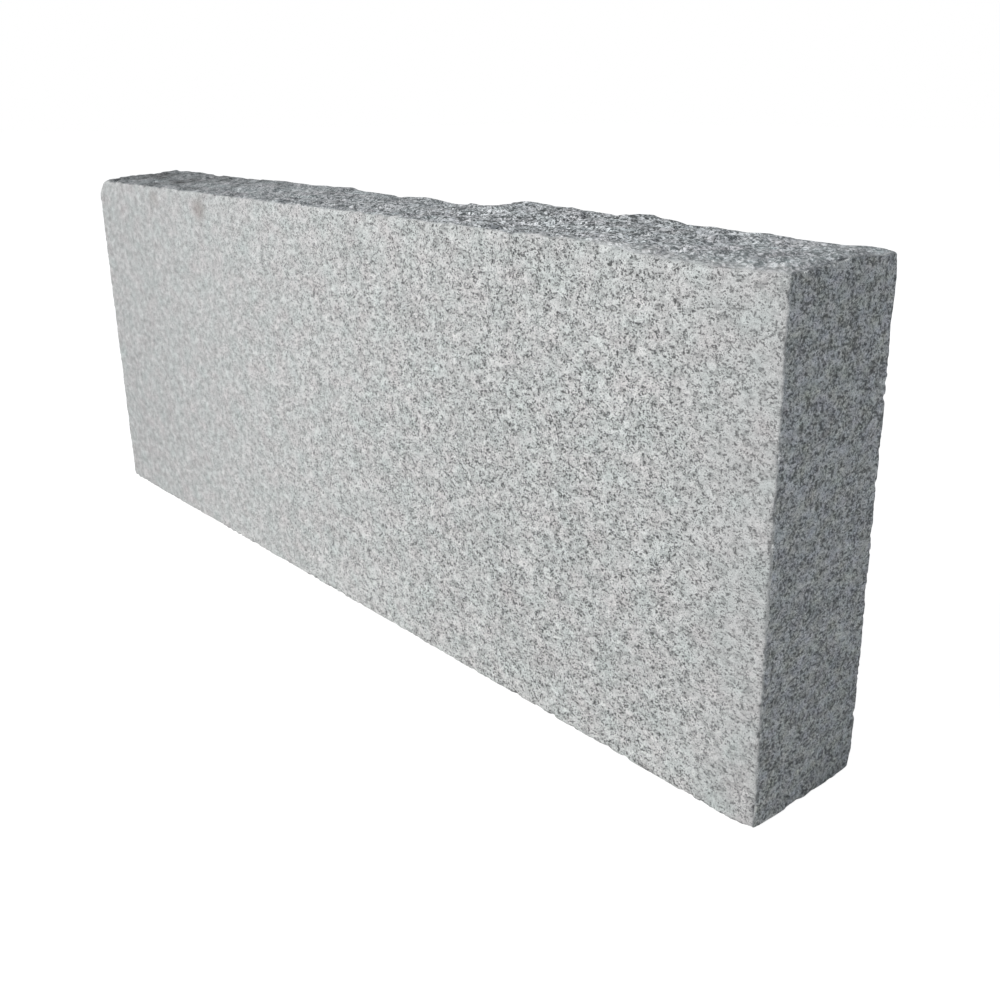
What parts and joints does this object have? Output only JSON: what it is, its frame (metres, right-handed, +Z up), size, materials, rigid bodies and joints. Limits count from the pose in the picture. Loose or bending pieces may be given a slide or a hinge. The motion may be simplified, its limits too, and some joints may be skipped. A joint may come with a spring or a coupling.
{
  "type": "granite kerb stone",
  "caption": "Straight granite kerb block with sawn faces and a rough split top, set on edge in the ground to border a path, bed or drive.",
  "frame": {"origin": "middle of the bed, the flat underside", "axes": "+X along the stone, -Y out of its dressed front face, +Z up from the bed to the split top"},
  "size_m": [0.716, 0.08, 0.2701],
  "materials": {
    "granite": "flamed front, split top"
  },
  "bodies": {
    "root": {"kerb_stone": "granite"}
  },
  "joints": []
}
